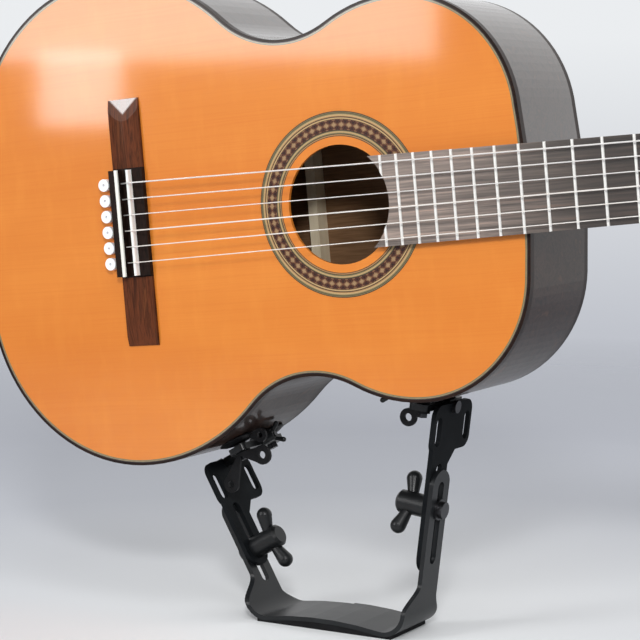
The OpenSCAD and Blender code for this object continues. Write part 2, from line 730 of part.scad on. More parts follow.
slide_gap = 0.05;                      // between an arm and its upright
post_left_x = -reach_left - arm_t - slide_gap;  // inner face of the tail-side upright, in its arm's frame
post_right_x = -reach_right - arm_t - slide_gap;
bend_out = bend_r + strip_t;
bend_mid = bend_r + strip_t / 2;
bend_z = pad_t + bend_out;

// A point of an arm's frame in the support's x and z
function left_point(x, s) = contact_left + [x * cos(lean_left) - s * sin(lean_left),
    x * sin(lean_left) + s * cos(lean_left)];
function right_point(x, s) = contact_right + [-x * cos(lean_right) + s * sin(lean_right),
    x * sin(lean_right) + s * cos(lean_right)];
// How far down an arm's frame the bend's centre lies, and the centres themselves
left_bend_s = (bend_z - left_point(post_left_x + bend_r, 0).y) / cos(lean_left);
right_bend_s = (bend_z - right_point(post_right_x + bend_r, 0).y) / cos(lean_right);
left_bend = left_point(post_left_x + bend_r, left_bend_s);
right_bend = right_point(post_right_x + bend_r, right_bend_s);
// Arch that is tangent to both bends
arch_half = (right_bend.x - left_bend.x) / 2;
arch_k = bend_z - (pad_t + arch_rise + strip_t / 2);
arch_r = (arch_k * arch_k + arch_half * arch_half - bend_mid * bend_mid) / (2 * (bend_mid - arch_k));
arch_c = [(left_bend.x + right_bend.x) / 2, pad_t + arch_rise + strip_t / 2 - arch_r];
arch_a = asin(arch_half / (arch_r + bend_mid));

// Heights at which each edge of an upright ends and starts to widen into the base
left_front_flare = [12, 30];
right_front_flare = [20, 38];
left_back_flare = [4, 15];
right_back_flare = [5, 27];
flare_steps = 10;
// One edge of the strip seen from the side, from the base up: [distance, height]
function flare_edge(z, reach) = [for (i = [0:flare_steps])
    [strip_w / 2 + (reach - strip_w / 2) * (1 + cos(180 * i / flare_steps)) / 2,
        z[0] + (z[1] - z[0]) * i / flare_steps]];
function backwards(v) = [for (i = [len(v) - 1:-1:0]) v[i]];
module strip_side(front, back) {
    polygon(concat([[-base_front, -over], [base_back, -over]], flare_edge(back, base_back),
        [[strip_w / 2, saddle_z], [-strip_w / 2, saddle_z]],
        [for (q = backwards(flare_edge(front, base_front))) [-q.x, q.y]]));
}

module base_profile() {
    polygon(concat(
        [left_point(post_left_x - strip_t, -left_post_top)],
        [left_point(post_left_x - strip_t, left_bend_s)],
        arc_points(left_bend, bend_out, 180 + lean_left, 270 + arch_a),
        arc_points(arch_c, arch_r - strip_t / 2, 90 + arch_a, 90 - arch_a),
        arc_points(right_bend, bend_out, 270 - arch_a, 360 - lean_right),
        [right_point(post_right_x - strip_t, -right_post_top)],
        [right_point(post_right_x, -right_post_top)],
        [right_point(post_right_x, right_bend_s)],
        arc_points(right_bend, bend_r, 360 - lean_right, 270 - arch_a),
        arc_points(arch_c, arch_r + strip_t / 2, 90 - arch_a, 90 + arch_a),
        arc_points(left_bend, bend_r, 270 + arch_a, 180 + lean_left),
        [left_point(post_left_x, -left_post_top)]));
}
module along_y(y0, y1) { translate([0, y1, 0]) rotate([90, 0, 0]) linear_extrude(y1 - y0) children(); }

// Round end and clamp slot of an upright, cut in its arm's frame
module post_cuts(x, top, slot_low) {
    upright_plate(x - strip_t - over, x + over) difference() {
        translate([-strip_w, -top - strip_w / 2]) square([2 * strip_w, strip_w]);
        translate([0, -top - end_r]) circle(r = end_r);
    }
    upright_plate(x - strip_t - over, x + over) slot_shape(slot_w, -slot_low, -top - slot_margin);
}
end_r = strip_w / 2 + 0.8;             // a little over half the strip, so the arc ends in a corner
slot_margin = 9;                       // from a strip's end to its clamp slot
left_slot_low = 107;                   // lower end of each upright's clamp slot, below the contact
right_slot_low = 126;

module base_frame() color([0.16, 0.17, 0.18]) difference() {
    intersection() {
        along_y(-base_front, base_back) base_profile();
        union() {
            upright_plate(-saddle_z, 0) strip_side(left_front_flare, left_back_flare);
            upright_plate(0, saddle_z) strip_side(right_front_flare, right_back_flare);
        }
    }
    at_left() post_cuts(post_left_x, left_post_top, left_slot_low);
    at_right() post_cuts(post_right_x, right_post_top, right_slot_low);
}
pad_turn = 22;                         // how far the pad follows each bend
module thigh_pad() color([0.07, 0.07, 0.07]) along_y(1 - base_front, base_back - 1) polygon(concat(
    [[polar(left_bend, bend_out, 270 - pad_turn).x, 0]],
    [polar(left_bend, bend_out, 270 - pad_turn)],
    arc_points(left_bend, bend_out, 270 - pad_turn, 270 + arch_a),
    arc_points(arch_c, arch_r - strip_t / 2, 90 + arch_a, 90 - arch_a),
    arc_points(right_bend, bend_out, 270 - arch_a, 270 + pad_turn),
    [[polar(right_bend, bend_out, 270 + pad_turn).x, 0]]));

plate_top = 5;                         // plate's top edge and lower edge, below the contact
plate_low = 42;
plate_round = 9;
plate_blend = 52;                      // where the plate's lower edge has run into the arm
head_slot = [14, 36];                  // upper and lower end of a head slot, below the contact
head_slot_width = 8.5;
head_slot_margin = 7.5;                // from the plate's edge to the middle of a head slot
plate_y0 = -strip_w / 2 - plate_front;
plate_y1 = plate_y0 + plate_w;

module arm_shape(low, slot_top) {
    difference() {
        union() {
            round_rect(plate_y0, -plate_low, plate_y1, -plate_top, plate_round);
            translate([-strip_w / 2, strip_w / 2 - low]) square([strip_w, low - strip_w / 2 - plate_low + plate_round]);
            translate([0, strip_w / 2 - low]) circle(d = strip_w);
            polygon([[0, -plate_blend], [strip_w / 2, -plate_blend],
                [strip_w / 2 + plate_blend - plate_low, -plate_low],
                [strip_w / 2 + plate_blend - plate_low, over - plate_low], [0, over - plate_low]]);
        }
        slot_shape(slot_w, slot_margin - low, -slot_top);
        for (y = [plate_y0 + head_slot_margin, plate_y1 - head_slot_margin])
            translate([y, 0]) slot_shape(head_slot_width, -head_slot[1], -head_slot[0]);
        translate([rod_y, -rod_drop]) circle(r = rod_r);
    }
}
module left_arm() color([0.15, 0.16, 0.17]) at_left()
    upright_plate(-reach_left - arm_t, -reach_left) arm_shape(left_arm_end, 41);
module right_arm() color([0.15, 0.16, 0.17]) at_right()
    upright_plate(-reach_right - arm_t, -reach_right) arm_shape(right_arm_end, 50);

washer_r = 8;
washer_t = 1.5;
bolt_head_t = 4;
bolt_head_r = 6.5;
bolt_grip = 18;                        // bolt length inside the knob
module clamp_bolt(post_x, face, s) {
    translate([0, 0, -s]) {
        rod_x(washer_r, post_x - strip_t - washer_t, post_x - strip_t);
        rod_x(bolt_head_r, post_x - strip_t - washer_t - bolt_head_t, post_x - strip_t - washer_t + 0.01);
        rod_x(clamp_r, post_x - strip_t - washer_t, face + bolt_grip);
    }
}
module clamp_bolts() color([0.3, 0.3, 0.31]) {
    at_left() clamp_bolt(post_left_x, -reach_left, left_clamp);
    at_right() clamp_bolt(post_right_x, -reach_right, right_clamp);
}
lobe_x = 20;                           // middle of the lobes, from the arm
module wing_knob() {
    difference() {
        union() {
            rod_x(knob_r, slip, knob_l - 2);
            translate([knob_l - 2, 0, 0]) rotate([0, 90, 0]) cylinder(r1 = knob_r, r2 = knob_r - 2, h = 2);
            for (side = [-1, 1]) hull() {
                translate([lobe_x, 0, side * lobe_reach]) sphere(r = lobe_r, $fn = 32);
                translate([lobe_x - 4, 0, side * knob_r / 2]) sphere(r = lobe_r * 0.6, $fn = 24);
            }
        }
        rod_x(clamp_r + fit, -over, bolt_grip + slip);
    }
}
module left_wing_knob() color([0.14, 0.15, 0.16]) at_left() translate([-reach_left, 0, -left_clamp]) wing_knob();
module right_wing_knob() color([0.14, 0.15, 0.16]) at_right() translate([-reach_right, 0, -right_clamp])
    rotate([-knob_turn, 0, 0]) wing_knob();

bracket_t = 5;
bracket_half = 8;
bracket_end = 9;                       // from a cup's axis to the bracket's end
boss_r = 4;
nut_hub_l = 7;
stud_r = 2.5;
bracket_top = -rod_drop + bracket_t / 2;
bracket_low = bracket_top - bracket_t;
module each_cup() { for (side = [-1, 1]) translate([0, rod_y + side * cup_gap / 2, 0]) children(); }

module cup_bracket(reach, cup_x) {
    difference() {
        union() {
            translate([cup_x, 0, bracket_low]) linear_extrude(bracket_t)
                round_rect(-bracket_half, rod_y - cup_gap / 2 - bracket_end, bracket_half,
                    rod_y + cup_gap / 2 + bracket_end, 4);
            translate([0, rod_y, -rod_drop]) rod_x(boss_r, -reach, rod_reach - reach - nut_hub_l - slip);
        }
        translate([0, rod_y, -rod_drop]) rod_x(rod_r, -reach - over, rod_reach);
        translate([cup_x, 0, bracket_low - over]) each_cup() cylinder(r = stud_r, h = bracket_t + 2 * over);
    }
}
module left_cup_bracket() color([0.12, 0.12, 0.13]) at_left() cup_bracket(reach_left, 0);
module right_cup_bracket() color([0.12, 0.12, 0.13]) at_right() cup_bracket(reach_right, -cup_shift);

cup_h = -bracket_top - contact_gap;
neck_r = 5;
strap_t = 2.4;
collar_t = 2.5;
// Suction cup, hollow above and standing on the bracket
module cup() {
    translate([0, 0, bracket_top]) rotate_extrude() polygon([
        [0, 0], [neck_r, 0], [neck_r, cup_h * 0.3], [cup_r * 0.75, cup_h * 0.55], [cup_r, cup_h * 0.85],
        [cup_r, cup_h], [cup_r - 0.8, cup_h], [cup_r * 0.6, cup_h * 0.8], [0, cup_h * 0.7]]);
}
// Flat tongue from a root to a ring, standing in the x and z plane
module pull_ring(root, ring, root_w, ring_r, hole) {
    d = (ring - root) / norm(ring - root);
    n = [-d.y, d.x];
    rotate([90, 0, 0]) linear_extrude(strap_t, center = true) difference() {
        union() {
            translate(ring) circle(r = ring_r);
            polygon([root + n * root_w / 2, root - n * root_w / 2,
                ring - n * ring_r * 0.98, ring + n * ring_r * 0.98]);
        }
        translate(ring) circle(r = hole);
    }
}
strap_root = bracket_low - collar_t / 2;
module collar() {
    translate([0, 0, bracket_low - collar_t]) difference() {
        cylinder(r = neck_r + 1, h = collar_t);
        translate([0, 0, -over]) cylinder(r = stud_r, h = collar_t + 2 * over);
    }
}
strap_y = -neck_r;
strap_w = 2.4;
upper_strap = [18, -21];               // middle of a strap's ring, from the cup's axis and the contact
lower_strap = [-19, -29];
right_strap = [8, -17.5];
tab_root = 3;                          // how far a rim's tab starts inside the rim and below the contact
tab_reach = 6;
module left_cups() color([0.05, 0.05, 0.055]) at_left() {
    each_cup() cup();
    translate([0, rod_y - cup_gap / 2, 0]) {
        pull_ring([cup_r - tab_root, -tab_root], [cup_r + tab_reach, -tab_reach], 3, 5.5, 2.4);
        collar();
        translate([0, strap_y, 0]) {
            pull_ring([0, strap_root], upper_strap, strap_w, 7.5, 3);
            pull_ring([0, strap_root], lower_strap, strap_w, 6.5, 2.8);
        }
    }
}
module right_cups() color([0.05, 0.05, 0.055]) at_right() translate([-cup_shift, 0, 0]) {
    each_cup() cup();
    translate([0, rod_y - cup_gap / 2, 0]) {
        collar();
        translate([0, strap_y, 0]) pull_ring([0, strap_root], right_strap, strap_w, 6.8, 3);
    }
}
stud_nut_t = 3.5;
module cup_studs(near_low) {
    for (side = [-1, 1]) translate([0, rod_y + side * cup_gap / 2, 0]) {
        low = bracket_low - (side < 0 ? near_low : 0);
        translate([0, 0, low - stud_nut_t]) cylinder(r = stud_r, h = bracket_top - low + stud_nut_t);
        translate([0, 0, low - stud_nut_t]) cylinder(r = 4.4, h = stud_nut_t, $fn = 6);
    }
}
module left_cup_studs() color([0.5, 0.5, 0.5]) at_left() cup_studs(collar_t);
module right_cup_studs() color([0.5, 0.5, 0.5]) at_right() translate([-cup_shift, 0, 0]) cup_studs(collar_t);

module head_bolt(reach) {
    translate([0, rod_y, -rod_drop]) {
        rod_x(rod_r, -reach - arm_t, rod_reach - reach + 1);
        rod_x(2.4 * rod_r, -reach - arm_t - 3, -reach - arm_t + 0.01);
    }
}
module left_head_bolt() color([0.3, 0.3, 0.31]) at_left() head_bolt(reach_left);
module right_head_bolt() color([0.3, 0.3, 0.31]) at_right() head_bolt(reach_right);

nut_ball_r = 2;
nut_ball_reach = 7;
module head_nut(reach) {
    translate([rod_reach - reach, rod_y, -rod_drop]) difference() {
        union() {
            rod_x(3.8, -nut_hub_l, 0);
            for (side = [-1, 1]) hull() {
                translate([5, 0, side * nut_ball_reach]) sphere(r = nut_ball_r, $fn = 24);
                translate([-2, 0, side * 2.6]) sphere(r = 1.3, $fn = 16);
            }
        }
        rod_x(rod_r + fit, -nut_hub_l - over, over + 2);
    }
}
module left_head_nut() color([0.1, 0.1, 0.11]) at_left() head_nut(reach_left);
module right_head_nut() color([0.1, 0.1, 0.11]) at_right() head_nut(reach_right);

soundboard();
back_plate();
bass_side();
treble_side();
linings();
neck_block();
tail_block();
soundboard_braces();
back_braces();
bindings();
rosette();
neck();
headstock();
head_veneer();
fingerboard();
frets();
nut();
bridge();
saddle();
tie_block_strip();
tie_beads();
guitar_string(1, nylon);  // string_1
guitar_string(2, nylon);  // string_2
guitar_string(3, nylon);  // string_3
guitar_string(4, wound);  // string_4
guitar_string(5, wound);  // string_5
guitar_string(6, wound);  // string_6
bass_tuner_plate();
treble_tuner_plate();
tuner_knob(1);  // tuner_knob_1
tuner_knob(2);  // tuner_knob_2
tuner_knob(3);  // tuner_knob_3
tuner_knob(4);  // tuner_knob_4
tuner_knob(5);  // tuner_knob_5
tuner_knob(6);  // tuner_knob_6
tuner_roller(1);  // tuner_roller_1
tuner_roller(2);  // tuner_roller_2
tuner_roller(3);  // tuner_roller_3
tuner_roller(4);  // tuner_roller_4
tuner_roller(5);  // tuner_roller_5
tuner_roller(6);  // tuner_roller_6
tuner_screws();
base_frame();
thigh_pad();
left_arm();
right_arm();
clamp_bolts();
left_wing_knob();
right_wing_knob();
left_cup_bracket();
right_cup_bracket();
left_cups();
right_cups();
left_cup_studs();
right_cup_studs();
left_head_bolt();
right_head_bolt();
left_head_nut();
right_head_nut();
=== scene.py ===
# Looks of a classical guitar on its U-shaped support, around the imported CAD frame.
import bpy
import math
from mathutils import Matrix, Vector


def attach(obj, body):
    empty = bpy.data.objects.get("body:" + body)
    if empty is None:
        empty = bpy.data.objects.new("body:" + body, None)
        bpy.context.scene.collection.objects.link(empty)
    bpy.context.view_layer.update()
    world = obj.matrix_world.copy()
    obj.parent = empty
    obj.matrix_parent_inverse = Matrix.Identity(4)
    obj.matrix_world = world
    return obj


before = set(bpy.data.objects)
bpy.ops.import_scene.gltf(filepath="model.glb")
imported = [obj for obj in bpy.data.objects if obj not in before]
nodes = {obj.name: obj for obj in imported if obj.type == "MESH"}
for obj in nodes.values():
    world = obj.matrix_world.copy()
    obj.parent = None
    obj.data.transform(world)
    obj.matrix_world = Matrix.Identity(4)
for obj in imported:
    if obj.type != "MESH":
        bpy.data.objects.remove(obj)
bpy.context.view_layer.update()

# ---------------------------------------------------------------- camera
EYE = Vector((0.75299, -1.33873, 0.38124))
LOOK = Vector((-0.49728, 0.86210, -0.09744))
FOCAL_LENGTH = 114.94                                  # mm, on a sensor 36 mm wide

fwd = LOOK.normalized()
right = fwd.cross(Vector((0, 0, 1))).normalized()
up = right.cross(fwd)
cam = bpy.data.cameras.new("camera")
cam.sensor_width = 36
cam.lens = FOCAL_LENGTH
cam.clip_start = 0.05
cam.clip_end = 40
cam_ob = bpy.data.objects.new("camera", cam)
bpy.context.scene.collection.objects.link(cam_ob)
rot = Matrix((right, up, -fwd)).transposed().to_4x4()
cam_ob.matrix_world = Matrix.Translation(EYE) @ rot
bpy.context.scene.camera = cam_ob
bpy.context.scene.view_settings.view_transform = "Standard"

# ---------------------------------------------------------------- guitar frame
RISE = math.radians(5.52)
SADDLE = Vector((-0.152, -0.0475, 0.303))
AX_U = Vector((math.cos(RISE), 0, math.sin(RISE)))     # along the strings to the head
AX_V = Vector((-math.sin(RISE), 0, math.cos(RISE)))    # towards the bass side
AX_W = Vector((0, -1, 0))                              # out of the soundboard


def on_guitar(u, v, w):
    return SADDLE + AX_U * u + AX_V * v + AX_W * w


# ---------------------------------------------------------------- node helpers
class Mat:
    """A Principled material and short ways to add nodes to it."""

    def __init__(self, name):
        self.m = bpy.data.materials.new(name)
        self.m.use_nodes = True
        self.t = self.m.node_tree
        self.t.nodes.clear()
        self.out = self.t.nodes.new("ShaderNodeOutputMaterial")
        self.b = self.t.nodes.new("ShaderNodeBsdfPrincipled")
        self.t.links.new(self.b.outputs[0], self.out.inputs[0])

    def node(self, kind, **k):
        n = self.t.nodes.new(kind)
        for a, v in k.items():
            setattr(n, a, v)
        return n

    def put(self, sock, v):
        if isinstance(v, bpy.types.NodeSocket):
            self.t.links.new(v, sock)
        elif v is not None:
            if hasattr(sock.default_value, "__len__") and not hasattr(v, "__len__"):
                sock.default_value = [v] * len(sock.default_value)
            elif hasattr(v, "__len__") and len(v) == 3 and len(sock.default_value) == 4:
                sock.default_value = (*v, 1)
            else:
                sock.default_value = v

    def math(self, op, a, b=None, clamp=False):
        n = self.node("ShaderNodeMath", operation=op, use_clamp=clamp)
        for i, v in enumerate((a, b)):
            if v is not None:
                self.put(n.inputs[i], v)
        return n.outputs[0]

    def dot(self, a, b):
        n = self.node("ShaderNodeVectorMath", operation="DOT_PRODUCT")
        self.put(n.inputs[0], a)
        self.put(n.inputs[1], b)
        return n.outputs["Value"]

    def sub(self, a, b):
        n = self.node("ShaderNodeVectorMath", operation="SUBTRACT")
        self.put(n.inputs[0], a)
        self.put(n.inputs[1], b)
        return n.outputs[0]

    def xyz(self, x=0.0, y=0.0, z=0.0):
        n = self.node("ShaderNodeCombineXYZ")
        for i, v in enumerate((x, y, z)):
            self.put(n.inputs[i], v)
        return n.outputs[0]

    def scaled(self, u, v, w, su, sv, sw=None):
        """Vector of u, v and w, each times its own scale; a scale of None leaves w at 0."""
        x = self.math("MULTIPLY", u, su)
        y = self.math("MULTIPLY", v, sv)
        z = 0.0 if sw is None else self.math("MULTIPLY", w, sw)
        return self.xyz(x, y, z)

    def coords(self):
        return self.node("ShaderNodeTexCoord").outputs["Object"]

    def uvw(self):
        """Place on the guitar: along the strings, across them, and out of the soundboard."""
        p = self.sub(self.coords(), tuple(SADDLE))
        return [self.dot(p, tuple(axis)) for axis in (AX_U, AX_V, AX_W)]

    def noise(self, vec, scale=1.0, detail=2.0, rough=0.5, dist=0.0):
        n = self.node("ShaderNodeTexNoise")
        self.put(n.inputs["Vector"], vec)
        n.inputs["Scale"].default_value = scale
        n.inputs["Detail"].default_value = detail
        n.inputs["Roughness"].default_value = rough
        n.inputs["Distortion"].default_value = dist
        return n.outputs["Fac"]

    def ramp(self, fac, stops, mode="LINEAR"):
        n = self.node("ShaderNodeValToRGB")
        n.color_ramp.interpolation = mode
        e = n.color_ramp.elements
        while len(e) < len(stops):
            e.new(0.5)
        for el, (p, c) in zip(e, stops):
            el.position = p
            el.color = (*c, 1) if len(c) == 3 else c
        self.put(n.inputs[0], fac)
        return n.outputs[0]

    def value_ramp(self, fac, lo, hi, a=0.0, b=1.0):
        n = self.node("ShaderNodeMapRange")
        self.put(n.inputs[0], fac)
        for i, v in enumerate((a, b, lo, hi)):
            n.inputs[i + 1].default_value = v
        return n.outputs[0]

    def mix(self, fac, a, b, mode="MIX"):
        n = self.node("ShaderNodeMix", data_type="RGBA", blend_type=mode)
        self.put(n.inputs[0], fac)
        self.put(n.inputs[6], a)
        self.put(n.inputs[7], b)
        return n.outputs[2]

    def bump(self, height, strength=0.3, dist=0.0005):
        n = self.node("ShaderNodeBump")
        n.inputs["Strength"].default_value = strength
        n.inputs["Distance"].default_value = dist
        self.put(n.inputs["Height"], height)
        self.put(self.b.inputs["Normal"], n.outputs[0])

    def set(self, **k):
        names = {"color": "Base Color", "rough": "Roughness", "metal": "Metallic", "ior": "IOR",
                 "coat": "Coat Weight", "coat_rough": "Coat Roughness", "spec": "Specular IOR Level",
                 "trans": "Transmission Weight", "sss": "Subsurface Weight"}
        for a, v in k.items():
            self.put(self.b.inputs[names[a]], v)


def use(mat, *names):
    for n in names:
        ob = nodes[n]
        if not ob.material_slots:
            ob.data.materials.append(mat.m)
        for s in ob.material_slots:
            s.material = mat.m


# ---------------------------------------------------------------- woods
LACQUER = {"coat": 0.95, "coat_rough": 0.07}           # the front's clear finish
INNER_BACK = -0.0993                                   # just inside the back's inner face
TIE_BLOCK_END = 0.0420                                 # half the length of the tie block
WING_MID = -0.0050                                     # middle of the bridge's wings, along the strings
GLINT_TIP, GLINT_TOP, GLINT_SLOPE = 0.0825, 0.0845, 0.92
PORE = (0.012, 0.008, 0.006)


def cedar_grain(m, u, v, w):
    """Colour, grain and relief of the cedar top: lines along the strings with some cross silk."""
    wander = m.math("MULTIPLY", m.noise(m.scaled(u, v, w, 5.0, 9.0), 1.0, 2.0), 0.006)
    vv = m.math("ADD", v, wander)
    grain_at = m.xyz(m.math("MULTIPLY", u, 7.0), m.math("MULTIPLY", vv, 620.0), w)
    fine_at = m.xyz(m.math("MULTIPLY", u, 40.0), m.math("MULTIPLY", vv, 2300.0), w)
    grain = m.noise(grain_at, 1.0, 3.0, 0.62)
    fine = m.noise(fine_at, 1.0, 2.0, 0.6)
    broad = m.noise(m.scaled(u, v, w, 3.0, 12.0), 1.0, 3.0, 0.55)
    silk = m.noise(m.scaled(u, v, w, 55.0, 16.0), 1.0, 3.0, 0.6)
    base = m.ramp(broad, [(0.3, (0.635, 0.184, 0.021)), (0.7, (0.72, 0.238, 0.033))])
    dark = m.mix(m.value_ramp(grain, 0.0, 0.42, 0.44, 0.72), base, (0.62, 0.160, 0.018))
    hair = m.mix(m.value_ramp(fine, 0.0, 0.28, 0.45, 0.75), dark, (0.67, 0.190, 0.024))
    col = m.mix(m.value_ramp(silk, 0.0, 0.16, 0.5, 0.8), hair, (0.90, 0.37, 0.062))
    return col, grain, m.math("ADD", grain, m.math("MULTIPLY", fine, 0.5))


def cedar():
    m = Mat("cedar_top")
    col, grain, relief = cedar_grain(m, *m.uvw())
    m.set(color=col, rough=m.value_ramp(grain, 0.34, 0.46), spec=0.15, **LACQUER)
    m.bump(relief, 0.05, 0.0002)
    return m


def rosewood(name, stops, scale_u, scale_v, coat=1.0, coat_rough=0.05, rough=0.35, swirl=1.6, spec=0.5,
             bump=0.05, finish=None):
    """Dark banded wood with pores; finish may change its colour and coat by place."""
    m = Mat(name)
    u, v, w = m.uvw()
    bands = m.noise(m.scaled(u, v, w, scale_u, scale_v, scale_v), 1.0, 5.0, 0.6, swirl)
    pores = m.noise(m.scaled(u, v, w, scale_u * 9, scale_v * 9, scale_v * 9), 1.0, 2.0, 0.5)
    col = m.ramp(bands, stops)
    col = m.mix(m.value_ramp(pores, 0.0, 0.7, 0.55, 0.75), col, PORE)
    if finish:
        col, coat = finish(m, u, v, w, col, pores)
    m.set(color=col, rough=m.value_ramp(bands, rough, rough + 0.1), spec=spec)
    m.set(coat=coat, coat_rough=coat_rough)
    m.bump(pores, bump, 0.0003)
    return m


def dark_block(m, u, v, w, col, pores):
    """The tie block is nearly black, and the upper wing shines only in a point on its sloped end."""
    away = m.math("ABSOLUTE", v)
    block = m.math("LESS_THAN", away, TIE_BLOCK_END)
    aside = m.math("ABSOLUTE", m.math("SUBTRACT", u, WING_MID))
    point = m.math("SUBTRACT", v, m.math("MULTIPLY", aside, GLINT_SLOPE))
    end = m.value_ramp(point, 0.0, 1.0, GLINT_TIP, GLINT_TOP)
    black = m.ramp(pores, [(0.3, (0.006, 0.004, 0.003)), (0.7, (0.022, 0.011, 0.008))])
    col = m.mix(block, col, black)
    return col, m.math("ADD", m.math("MULTIPLY", end, 0.96), 0.04)


def raw_inside(m, u, v, w, col, pores):
    """Inside the sound box the back's wood is bare and lighter."""
    inner = m.math("GREATER_THAN", w, INNER_BACK)
    bare = m.ramp(pores, [(0.3, (0.16, 0.085, 0.042)), (0.7, (0.25, 0.140, 0.072))])
    return m.mix(inner, col, bare), m.math("SUBTRACT", 0.9, m.math("MULTIPLY", inner, 0.9))


SIDE_STOPS = [(0.30, (0.010, 0.006, 0.005)), (0.48, (0.040, 0.021, 0.015)),
              (0.56, (0.020, 0.012, 0.009)), (0.72, (0.070, 0.034, 0.022))]
BRIDGE_STOPS = [(0.30, (0.030, 0.009, 0.004)), (0.47, (0.125, 0.034, 0.012)),
                (0.56, (0.062, 0.018, 0.007)), (0.72, (0.180, 0.055, 0.018))]
BINDING_STOPS = [(0.3, (0.008, 0.004, 0.003)), (0.7, (0.024, 0.010, 0.006))]
NECK_STOPS = [(0.3, (0.16, 0.062, 0.030)), (0.5, (0.23, 0.095, 0.045)), (0.7, (0.29, 0.125, 0.060))]
top = cedar()
bass_rib = rosewood("bass_side_wood", SIDE_STOPS, 6.0, 70.0, coat=1.0, coat_rough=0.07, spec=0.5)
treble_rib = rosewood("treble_side_wood", SIDE_STOPS, 6.0, 70.0, coat=0.45, coat_rough=0.07, spec=0.06)
back = rosewood("dark_back_wood", SIDE_STOPS, 5.0, 85.0, coat_rough=0.07, spec=0.2, finish=raw_inside)
binding = rosewood("binding_wood", BINDING_STOPS, 12.0, 160.0, coat=0.22, coat_rough=0.1, spec=0.08)
bridge_wood = rosewood("bridge_wood", BRIDGE_STOPS, 190.0, 14.0, coat_rough=0.10, rough=0.42, swirl=0.8,
                       spec=0.08, bump=0.12, finish=dark_block)
veneer = rosewood("veneer_wood", BRIDGE_STOPS, 10.0, 140.0)
neck_wood = rosewood("neck_wood", NECK_STOPS, 7.0, 120.0, coat=0.6, coat_rough=0.2, rough=0.42, swirl=0.5)
use(top, "soundboard")
use(bass_rib, "bass_side")
use(treble_rib, "treble_side")
use(back, "back_plate")
use(binding, "bindings")
use(bridge_wood, "bridge")
bridge_wood.b.inputs["Coat IOR"].default_value = 1.9
use(veneer, "head_veneer")
use(neck_wood, "neck", "headstock")


def raw_wood(name, lo, hi, across):
    """Unfinished wood, with its grain across the guitar or along it."""
    m = Mat(name)
    su, sv = (200.0, 9.0) if across else (9.0, 200.0)
    g = m.noise(m.scaled(*m.uvw(), su, sv, 120.0), 1.0, 4.0, 0.6, 0.3)
    m.set(color=m.ramp(g, [(0.3, lo), (0.7, hi)]), rough=0.7, spec=0.3)
    m.bump(g, 0.15, 0.0003)
    return m


brace_wood = raw_wood("brace_wood", (0.76, 0.63, 0.43), (0.90, 0.79, 0.58), True)
use(brace_wood, "back_braces", "soundboard_braces")
use(raw_wood("lining_wood", (0.36, 0.22, 0.11), (0.55, 0.38, 0.21), False), "linings")
use(raw_wood("block_wood", (0.25, 0.12, 0.055), (0.38, 0.2, 0.1), False), "neck_block", "tail_block")


SHEEN_PAINTED_TO, SHEEN_GONE_FROM = 0.25, 0.39                       # painted sheen: the board's colour is painted pale over the body


def board_wood():
    """Straight dark grain, with a painted sheen: pale over the body and darker towards the head."""
    m = Mat("fingerboard_wood")
    u, v, w = m.uvw()
    g = m.noise(m.scaled(u, v, w, 9.0, 330.0, 330.0), 1.0, 4.0, 0.62, 0.4)
    pores = m.noise(m.scaled(u, v, w, 120.0, 2400.0), 1.0, 2.0)
    col = m.ramp(g, [(0.32, (0.028, 0.023, 0.020)), (0.5, (0.070, 0.058, 0.050)),
                     (0.62, (0.120, 0.098, 0.085)), (0.76, (0.17, 0.105, 0.07))])
    sheen_fade = m.node("ShaderNodeMapRange", interpolation_type="SMOOTHSTEP")
    m.put(sheen_fade.inputs[0], u)
    for i, x in enumerate((SHEEN_PAINTED_TO, SHEEN_GONE_FROM, 0.0, 1.0)):
        sheen_fade.inputs[i + 1].default_value = x
    # painted sheen: the colour is lighter over the body and darker towards the head
    pale = m.mix(1.0, col, (2.7, 2.5, 2.4), "MULTIPLY")
    deep = m.mix(1.0, col, (0.42, 0.36, 0.32), "MULTIPLY")
    col = m.mix(sheen_fade.outputs[0], pale, deep)
    m.set(color=col, rough=m.value_ramp(g, 0.34, 0.48), spec=0.5, coat=0.5, coat_rough=0.35)
    m.bump(m.math("ADD", g, pores), 0.12, 0.0003)
    return m


use(board_wood(), "fingerboard")


# ---------------------------------------------------------------- rosette
HOLE_PLACE = 0.178                                     # centre of the sound hole from the saddle
RING_IN, RING_OUT = 49.5, 69.2                         # mm, range of the ring colours
MOSAIC_IN, MOSAIC_OUT, MOSAIC_MID = 0.0542, 0.0616, 0.0579
MOSAIC_HALF = 0.0037
MOSAIC_CELLS = 58
CEDAR_FROM = 0.0677                                    # past here the inlay looks like the top
PALE, OLIVE, TAN, DARK = (0.50, 0.33, 0.15), (0.20, 0.165, 0.075), (0.36, 0.20, 0.08), (0.040, 0.024, 0.015)
DEEP_OLIVE = (0.085, 0.070, 0.036)
RINGS = [(49.5, DARK), (49.9, TAN), (50.8, DARK), (51.3, OLIVE), (52.1, PALE), (52.9, OLIVE), (53.5, DARK),
         (54.2, TAN), (61.6, DARK), (62.0, PALE), (62.9, DARK), (63.6, TAN), (64.2, PALE), (65.2, OLIVE),
         (66.0, DEEP_OLIVE), (66.6, OLIVE), (67.1, DARK)]
TILES = [(0.0, (0.016, 0.008, 0.006)), (0.34, (0.075, 0.018, 0.010)), (0.47, (0.022, 0.011, 0.008)),
         (0.62, (0.11, 0.034, 0.016)), (0.74, (0.20, 0.10, 0.046)), (0.90, (0.33, 0.21, 0.105))]


